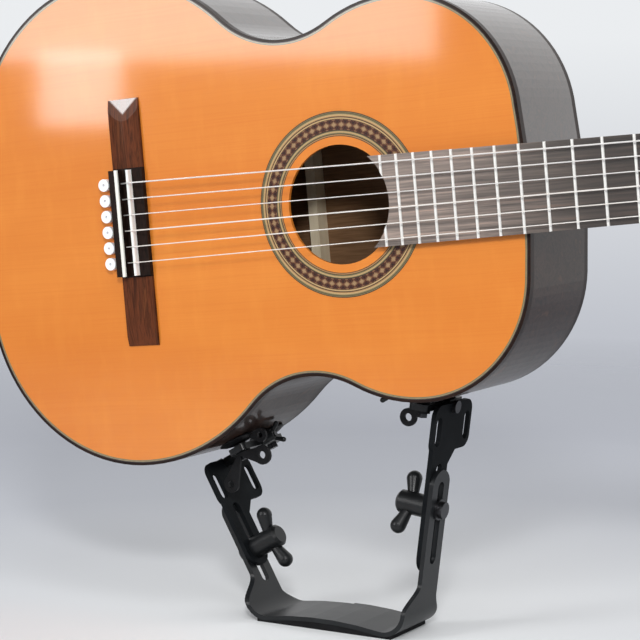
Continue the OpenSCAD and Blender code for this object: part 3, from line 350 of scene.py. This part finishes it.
def mosaic_tiles(m, r, ang):
    """Rows of dark hourglass blobs with pale diamonds between, as small square tiles."""
    cell = m.math("FRACT", m.math("MULTIPLY", m.math("ADD", ang, 1.0), MOSAIC_CELLS))
    s = m.math("ABSOLUTE", m.math("SUBTRACT", m.math("MULTIPLY", cell, 2.0), 1.0))
    k = m.math("ABSOLUTE", m.math("DIVIDE", m.math("SUBTRACT", r, MOSAIC_MID), MOSAIC_HALF))
    sq = m.math("DIVIDE", m.math("FLOOR", m.math("MULTIPLY", s, 6.0)), 6.0)
    kq = m.math("DIVIDE", m.math("FLOOR", m.math("MULTIPLY", k, 5.0)), 5.0)
    off_mid = m.math("ABSOLUTE", m.math("SUBTRACT", kq, 0.55))
    blob = m.math("SUBTRACT", off_mid, m.math("MULTIPLY", sq, 0.62))
    return m.ramp(m.math("ADD", blob, 0.62), TILES, "CONSTANT")


def rosette():
    """Thin coloured rings about a mosaic band, round the sound hole."""
    m = Mat("rosette_mosaic")
    u, v, w = m.uvw()
    du = m.math("SUBTRACT", u, HOLE_PLACE)
    r = m.math("SQRT", m.math("ADD", m.math("MULTIPLY", du, du), m.math("MULTIPLY", v, v)))
    ang = m.math("DIVIDE", m.math("ARCTAN2", v, du), 2 * math.pi)
    t = m.value_ramp(r, 0.0, 1.0, RING_IN / 1000, RING_OUT / 1000)
    stops = [((mm - RING_IN) / (RING_OUT - RING_IN), col) for mm, col in RINGS]
    rings = m.ramp(t, stops, "CONSTANT")
    tiles = mosaic_tiles(m, r, ang)
    inside = m.math("MULTIPLY", m.math("GREATER_THAN", r, MOSAIC_IN), m.math("LESS_THAN", r, MOSAIC_OUT))
    col = m.mix(inside, rings, tiles)
    col = m.mix(m.math("GREATER_THAN", r, CEDAR_FROM), col, cedar_grain(m, u, v, w)[0])
    fleck = m.noise(m.scaled(u, v, w, 900.0, 900.0), 1.0, 2.0)
    col = m.mix(m.value_ramp(fleck, 0.0, 0.18, 0.4, 0.8), col, (0.08, 0.04, 0.02))
    m.set(color=col, rough=0.4, spec=0.15, **LACQUER)
    return m


use(rosette(), "rosette")


# ---------------------------------------------------------------- metals, bone, nylon, plastic
def metal(name, col, rough, shine=1.0, bump=0.04):
    """Metal with a fine uneven surface; shine is how metallic it is."""
    m = Mat(name)
    n = m.noise(m.coords(), 900.0, 3.0, 0.6)
    worn = m.mix(m.value_ramp(n, 0.0, 0.35), col, [c * 0.75 for c in col])
    m.set(color=worn, metal=shine, rough=m.value_ramp(n, rough - 0.04, rough + 0.08), spec=0.5)
    m.bump(n, bump, 0.0001)
    return m


def bone(name, col, rough=0.22):
    m = Mat(name)
    n = m.noise(m.scaled(*m.uvw(), 500.0, 60.0, 500.0), 1.0, 3.0, 0.6)
    m.set(color=m.ramp(n, [(0.3, [c * 0.9 for c in col]), (0.7, col)]), rough=rough, spec=0.5)
    m.set(sss=0.06, coat=0.3, coat_rough=0.1)
    return m


use(metal("fret_wire", (0.95, 0.94, 0.90), 0.3, shine=0.35, bump=0.01), "frets")
use(bone("bone", (0.95, 0.94, 0.90)), "nut", "saddle")
use(bone("strip_bone", (0.93, 0.90, 0.80)), "tie_block_strip")
use(bone("bead_plastic", (0.95, 0.95, 0.96), 0.18), "tie_beads")


def nylon():
    m = Mat("clear_nylon")
    n = m.noise(m.scaled(*m.uvw(), 30.0, 600.0), 1.0, 2.0)
    m.set(color=m.ramp(n, [(0.3, (0.88, 0.83, 0.76)), (0.7, (0.95, 0.92, 0.88))]), rough=0.16, spec=0.6)
    m.set(trans=0.22, ior=1.53)
    return m


WINDING = 0.00055                                      # pitch of a wound string


def wound():
    m = Mat("wound_string")
    turn = m.math("SINE", m.math("MULTIPLY", m.uvw()[0], 2 * math.pi / WINDING))
    crest = m.value_ramp(turn, 0.0, 1.0, -1.0, 1.0)
    # painted shade: the colour is darker in the grooves between the turns than on their crests
    m.set(color=m.ramp(crest, [(0.0, (0.72, 0.70, 0.67)), (0.6, (0.95, 0.93, 0.90))]), metal=0.6, rough=0.32)
    m.bump(turn, 0.25, 0.0001)
    return m


use(nylon(), "string_1", "string_2", "string_3")
use(wound(), "string_4", "string_5", "string_6")
use(metal("tuner_brass", (0.80, 0.60, 0.28), 0.22), "bass_tuner_plate", "treble_tuner_plate", "tuner_screws")


def pearl():
    m = Mat("tuner_pearl")
    n = m.noise(m.coords(), 160.0, 4.0, 0.6, 1.2)
    swirl = m.ramp(n, [(0.3, (0.72, 0.68, 0.58)), (0.55, (0.86, 0.83, 0.75)), (0.7, (0.78, 0.72, 0.62))])
    m.set(color=swirl, rough=0.2, spec=0.5, coat=0.5, coat_rough=0.08)
    return m


pearl_mat = pearl()
for i in range(1, 7):
    use(pearl_mat, "tuner_knob_%d" % i, "tuner_roller_%d" % i)


def black_metal(name, spec, coat):
    """Painted strip metal with orange peel."""
    m = Mat(name)
    p = m.coords()
    orange_peel = m.noise(p, 700.0, 3.0, 0.55)
    wear = m.noise(p, 45.0, 5.0, 0.65)
    paint = m.ramp(wear, [(0.3, (0.006, 0.0068, 0.0078)), (0.7, (0.011, 0.0125, 0.014))])
    m.set(color=paint, rough=m.value_ramp(wear, 0.34, 0.48), spec=spec, coat=coat, coat_rough=0.2)
    m.bump(orange_peel, 0.06, 0.0002)
    return m


def black_plastic(name, rough=0.28):
    m = Mat(name)
    p = m.coords()
    grain = m.noise(p, 1500.0, 3.0, 0.6)
    black = m.ramp(m.noise(p, 60.0, 3.0), [(0.3, (0.006, 0.0065, 0.007)), (0.7, (0.011, 0.012, 0.013))])
    m.set(color=black, rough=m.value_ramp(grain, rough, rough + 0.1), spec=0.3)
    m.bump(grain, 0.10, 0.0002)
    return m


def rubber(name, rough):
    m = Mat(name)
    p = m.coords()
    grain = m.noise(p, 1100.0, 3.0, 0.6)
    black = m.ramp(m.noise(p, 80.0, 3.0), [(0.3, (0.005, 0.005, 0.0055)), (0.7, (0.010, 0.010, 0.011))])
    m.set(color=black, rough=m.value_ramp(grain, rough - 0.08, rough + 0.08), spec=0.12)
    m.bump(grain, 0.12, 0.0002)
    return m


use(black_metal("black_strip", 0.22, 0.12), "base_frame")
use(black_metal("black_arm", 0.015, 0.02), "left_arm", "right_arm")
use(black_plastic("black_knob"), "left_wing_knob", "right_wing_knob", "left_head_nut", "right_head_nut",
    "left_cup_bracket", "right_cup_bracket")
use(rubber("pad_rubber", 0.7), "thigh_pad")
use(rubber("cup_rubber", 0.42), "left_cups", "right_cups")
use(metal("dark_steel", (0.07, 0.07, 0.075), 0.36), "clamp_bolts", "left_head_bolt", "right_head_bolt",
    "left_cup_studs", "right_cup_studs")


# ---------------------------------------------------------------- edges
def soften(name, width):
    """Round a node's sharp edges a little."""
    mod = nodes[name].modifiers.new("edge", "BEVEL")
    mod.width = width
    mod.segments = 2
    mod.limit_method = "ANGLE"
    mod.angle_limit = math.radians(35)
    mod.use_clamp_overlap = True


EDGES = {"base_frame": 0.0007, "left_arm": 0.0006, "right_arm": 0.0006, "bridge": 0.0004,
         "thigh_pad": 0.0006, "left_cup_bracket": 0.0005, "right_cup_bracket": 0.0005,
         "fingerboard": 0.0004, "tie_block_strip": 0.0002}
for name, width in EDGES.items():
    soften(name, width)


# ---------------------------------------------------------------- purfling lines round the soundboard
TAIL, FRONT = 0.160, 0.327
LOWER_X, LOWER_HALF, LOWER_R1, LOWER_R2 = -0.017, 0.1883, 0.136, 0.152
UPPER_X, UPPER_HALF, UPPER_R1, UPPER_R2 = 0.231, 0.146, 0.115, 0.093
WAIST_R = 0.076


def outline(inset, step=2.5):
    """Half of the body's edge, as tangent arcs, mirrored to the whole."""
    def end_radius(c, r, reach):
        return (r * r - reach * reach - c[1] ** 2) / (2 * (r - reach))

    def ang(a, b):
        return math.degrees(math.atan2(a[1] - b[1], a[0] - b[0]))

    pts = []

    def arc(c, r, a0, a1):
        n = max(2, math.ceil(abs(a1 - a0) / step))
        for i in range(1, n + 1):
            a = math.radians(a0 + (a1 - a0) * i / n)
            pts.append((c[0] + r * math.cos(a), c[1] + r * math.sin(a)))

    c1 = (LOWER_X, LOWER_HALF - LOWER_R1)
    c2 = (LOWER_X, LOWER_HALF - LOWER_R2)
    c4 = (UPPER_X, UPPER_HALF - UPPER_R1)
    c5 = (UPPER_X, UPPER_HALF - UPPER_R2)
    tail_r = end_radius(c1, LOWER_R1, TAIL + LOWER_X)
    tail_c = (tail_r - TAIL, 0)
    end_r = end_radius(c5, UPPER_R2, FRONT - UPPER_X)
    end_c = (FRONT - end_r, 0)
    span = math.hypot(c4[0] - c2[0], c4[1] - c2[1])
    d1, d2 = LOWER_R2 + WAIST_R, UPPER_R1 + WAIST_R
    along = (span ** 2 + d1 ** 2 - d2 ** 2) / (2 * span)
    off = math.sqrt(d1 ** 2 - along ** 2)
    dx, dy = (c4[0] - c2[0]) / span, (c4[1] - c2[1]) / span
    wc = (c2[0] + along * dx - off * dy, c2[1] + along * dy + off * dx)
    ta = ang(c1, tail_c)
    a1, a2, sa = ang(wc, c2), ang(wc, c4), ang(c5, end_c)
    arc(tail_c, tail_r - inset, 180, ta)
    arc(c1, LOWER_R1 - inset, ta, 90)
    arc(c2, LOWER_R2 - inset, 90, a1)
    arc(wc, WAIST_R + inset, a1 + 180, a2 + 180)
    arc(c4, UPPER_R1 - inset, a2, 90)
    arc(c5, UPPER_R2 - inset, 90, sa)
    arc(end_c, end_r - inset, sa, 0)
    return [(-TAIL + inset, 0)] + pts + [(x, -y) for x, y in reversed(pts[:-1])]


LINE_RISE = 0.00004                                    # a hair above the soundboard


def ribbon(name, a, b, mat):
    """Flat inlay line between two insets of the outline."""
    p, q = outline(a), outline(b)
    n = len(p)
    verts = [on_guitar(x, y, LINE_RISE) for x, y in p + q]
    faces = [(i, (i + 1) % n, n + (i + 1) % n, n + i) for i in range(n)]
    me = bpy.data.meshes.new(name)
    me.from_pydata(verts, [], faces)
    me.update()
    ob = bpy.data.objects.new(name, me)
    bpy.context.scene.collection.objects.link(ob)
    me.materials.append(mat.m)
    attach(ob, "guitar")


def line_wood(name, col):
    m = Mat(name)
    n = m.noise(m.scaled(*m.uvw(), 300.0, 300.0), 1.0, 2.0)
    m.set(color=m.ramp(n, [(0.3, [c * 0.8 for c in col]), (0.7, col)]), rough=0.4, **LACQUER)
    return m


dark_line = line_wood("purfling_dark", (0.03, 0.02, 0.014))
green_line = line_wood("purfling_green", (0.16, 0.16, 0.07))
cream_line = line_wood("purfling_cream", (0.28, 0.21, 0.10))
ribbon("purfling_outer", 0.0022, 0.0028, dark_line)
ribbon("purfling_middle", 0.0028, 0.0034, cream_line)
ribbon("purfling_inner", 0.0034, 0.0041, green_line)

# ---------------------------------------------------------------- stage and light
FLOOR_R, FLOOR_SEGMENTS = 2.2, 96
FADE_FROM, FADE_OVER = 0.9, 1.2
# painted light falloff: the floor's colour is brighter near the middle and darker and bluer outwards
FLOOR_PAINTED_LIGHT_STOPS = [(0.0, (0.86, 0.875, 0.885)), (0.13, (0.84, 0.855, 0.87)),
               (0.55, (0.58, 0.60, 0.65)), (1.0, (0.52, 0.54, 0.60))]


def floor_paper():
    """Pale paper with painted light, brighter in the middle and darker and bluer outwards, that fades into
    the background.
    """
    m = Mat("floor")
    p = m.coords()
    x2 = m.math("POWER", m.dot(p, (1, 0, 0)), 2.0)
    y2 = m.math("POWER", m.dot(p, (0, 1, 0)), 2.0)
    far = m.math("SQRT", m.math("ADD", x2, y2))
    cloud = m.mix(m.value_ramp(m.noise(p, 3.0, 3.0), 0.0, 1.0), (0.985, 0.985, 0.985), (1.0, 1.0, 1.0))
    m.set(color=m.mix(1.0, m.ramp(far, FLOOR_PAINTED_LIGHT_STOPS), cloud, "MULTIPLY"), rough=0.6, spec=0.3)
    gone = m.node("ShaderNodeBsdfTransparent")
    fade = m.node("ShaderNodeMixShader")
    past = m.math("SUBTRACT", far, FADE_FROM)
    m.put(fade.inputs[0], m.math("MULTIPLY", past, 1.0 / FADE_OVER, clamp=True))
    m.t.links.new(m.b.outputs[0], fade.inputs[1])
    m.t.links.new(gone.outputs[0], fade.inputs[2])
    m.t.links.new(fade.outputs[0], m.out.inputs[0])
    return m


def on_ring(i):
    a = 2 * math.pi * i / FLOOR_SEGMENTS
    return (FLOOR_R * math.cos(a), FLOOR_R * math.sin(a), 0)


floor_me = bpy.data.meshes.new("floor")
ring = [on_ring(i) for i in range(FLOOR_SEGMENTS)]
floor_me.from_pydata(ring, [], [tuple(range(FLOOR_SEGMENTS))])
floor = bpy.data.objects.new("floor", floor_me)
bpy.context.scene.collection.objects.link(floor)
floor_me.materials.append(floor_paper().m)

world = bpy.data.worlds.new("studio")
bpy.context.scene.world = world
world.use_nodes = True
wt = world.node_tree
wt.nodes.clear()
wo = wt.nodes.new("ShaderNodeOutputWorld")
way = wt.nodes.new("ShaderNodeTexCoord")


def sky(direction, stops):
    """Background whose radiance follows one direction of the room, from -1 to 1."""
    d = wt.nodes.new("ShaderNodeVectorMath")
    d.operation = "DOT_PRODUCT"
    wt.links.new(way.outputs["Generated"], d.inputs[0])
    d.inputs[1].default_value = direction
    half = wt.nodes.new("ShaderNodeMath")
    half.operation = "MULTIPLY_ADD"
    half.inputs[1].default_value = half.inputs[2].default_value = 0.5
    wt.links.new(d.outputs["Value"], half.inputs[0])
    ramp = wt.nodes.new("ShaderNodeValToRGB")
    while len(ramp.color_ramp.elements) < len(stops):
        ramp.color_ramp.elements.new(0.5)
    for el, (at, col) in zip(ramp.color_ramp.elements, stops):
        el.position = at / 2 + 0.5
        el.color = (*col, 1)
    wt.links.new(half.outputs[0], ramp.inputs[0])
    bg = wt.nodes.new("ShaderNodeBackground")
    wt.links.new(ramp.outputs[0], bg.inputs[0])
    return bg


lit = wt.nodes.new("ShaderNodeBackground")
lit.inputs[0].default_value = (0.97, 0.98, 1.0, 1)
lit.inputs[1].default_value = 0.34
room = sky((0.0, 0.76, 0.65), [(-1.0, (0.22, 0.22, 0.23)), (-0.1, (0.30, 0.30, 0.31)),
                               (0.35, (0.72, 0.73, 0.75)), (1.0, (1.0, 1.0, 1.0))])
seen = sky((0.0, 0.0, 1.0), [(-0.16, (0.47, 0.49, 0.54)), (-0.10, (0.53, 0.55, 0.60)),
                             (0.04, (0.83, 0.85, 0.87)), (0.5, (0.86, 0.87, 0.88))])
path = wt.nodes.new("ShaderNodeLightPath")
mirror = wt.nodes.new("ShaderNodeMath")
mirror.operation = "MAXIMUM"
wt.links.new(path.outputs["Is Glossy Ray"], mirror.inputs[0])
wt.links.new(path.outputs["Is Transmission Ray"], mirror.inputs[1])
first = wt.nodes.new("ShaderNodeMixShader")
wt.links.new(mirror.outputs[0], first.inputs[0])
wt.links.new(lit.outputs[0], first.inputs[1])
wt.links.new(room.outputs[0], first.inputs[2])
second = wt.nodes.new("ShaderNodeMixShader")
wt.links.new(path.outputs["Is Camera Ray"], second.inputs[0])
wt.links.new(first.outputs[0], second.inputs[1])
wt.links.new(seen.outputs[0], second.inputs[2])
wt.links.new(second.outputs[0], wo.inputs[0])


def softbox(name, at, target, w, h, radiance):
    """Rectangular lamp, w by h, at one place and facing another."""
    d = bpy.data.lights.new(name, "AREA")
    d.shape = "RECTANGLE"
    d.size, d.size_y = w, h
    d.energy = radiance * math.pi * w * h
    ob = bpy.data.objects.new(name, d)
    bpy.context.scene.collection.objects.link(ob)
    z = (Vector(at) - Vector(target)).normalized()
    x = Vector((0, 0, 1)).cross(z).normalized()
    y = z.cross(x)
    ob.matrix_world = Matrix.Translation(at) @ Matrix((x, y, z)).transposed().to_4x4()
    ob.visible_camera = False
    return ob


softbox("key", (-1.30, -1.90, 1.15), (-0.85, 0, 1.15), 0.86, 1.32, 7.2)
softbox("key_low", (-1.60, -1.92, 0.44), (-1.15, 0, 0.44), 0.17, 0.14, 9.0)
softbox("over", (0.4, -0.5, 2.2), (0.1, 0.1, 0.3), 1.4, 1.0, 2.2)
softbox("rear", (1.2, 2.1, 1.9), (0.1, 0.0, 0.3), 1.8, 1.8, 1.9).visible_glossy = False
softbox("window", (1.08, -1.95, 1.36), (0.03, 0, 0.32), 0.34, 0.34, 85.0)
softbox("fill", (1.9, -1.3, 1.3), (0.0, 0.0, 0.3), 1.0, 1.0, 1.6)
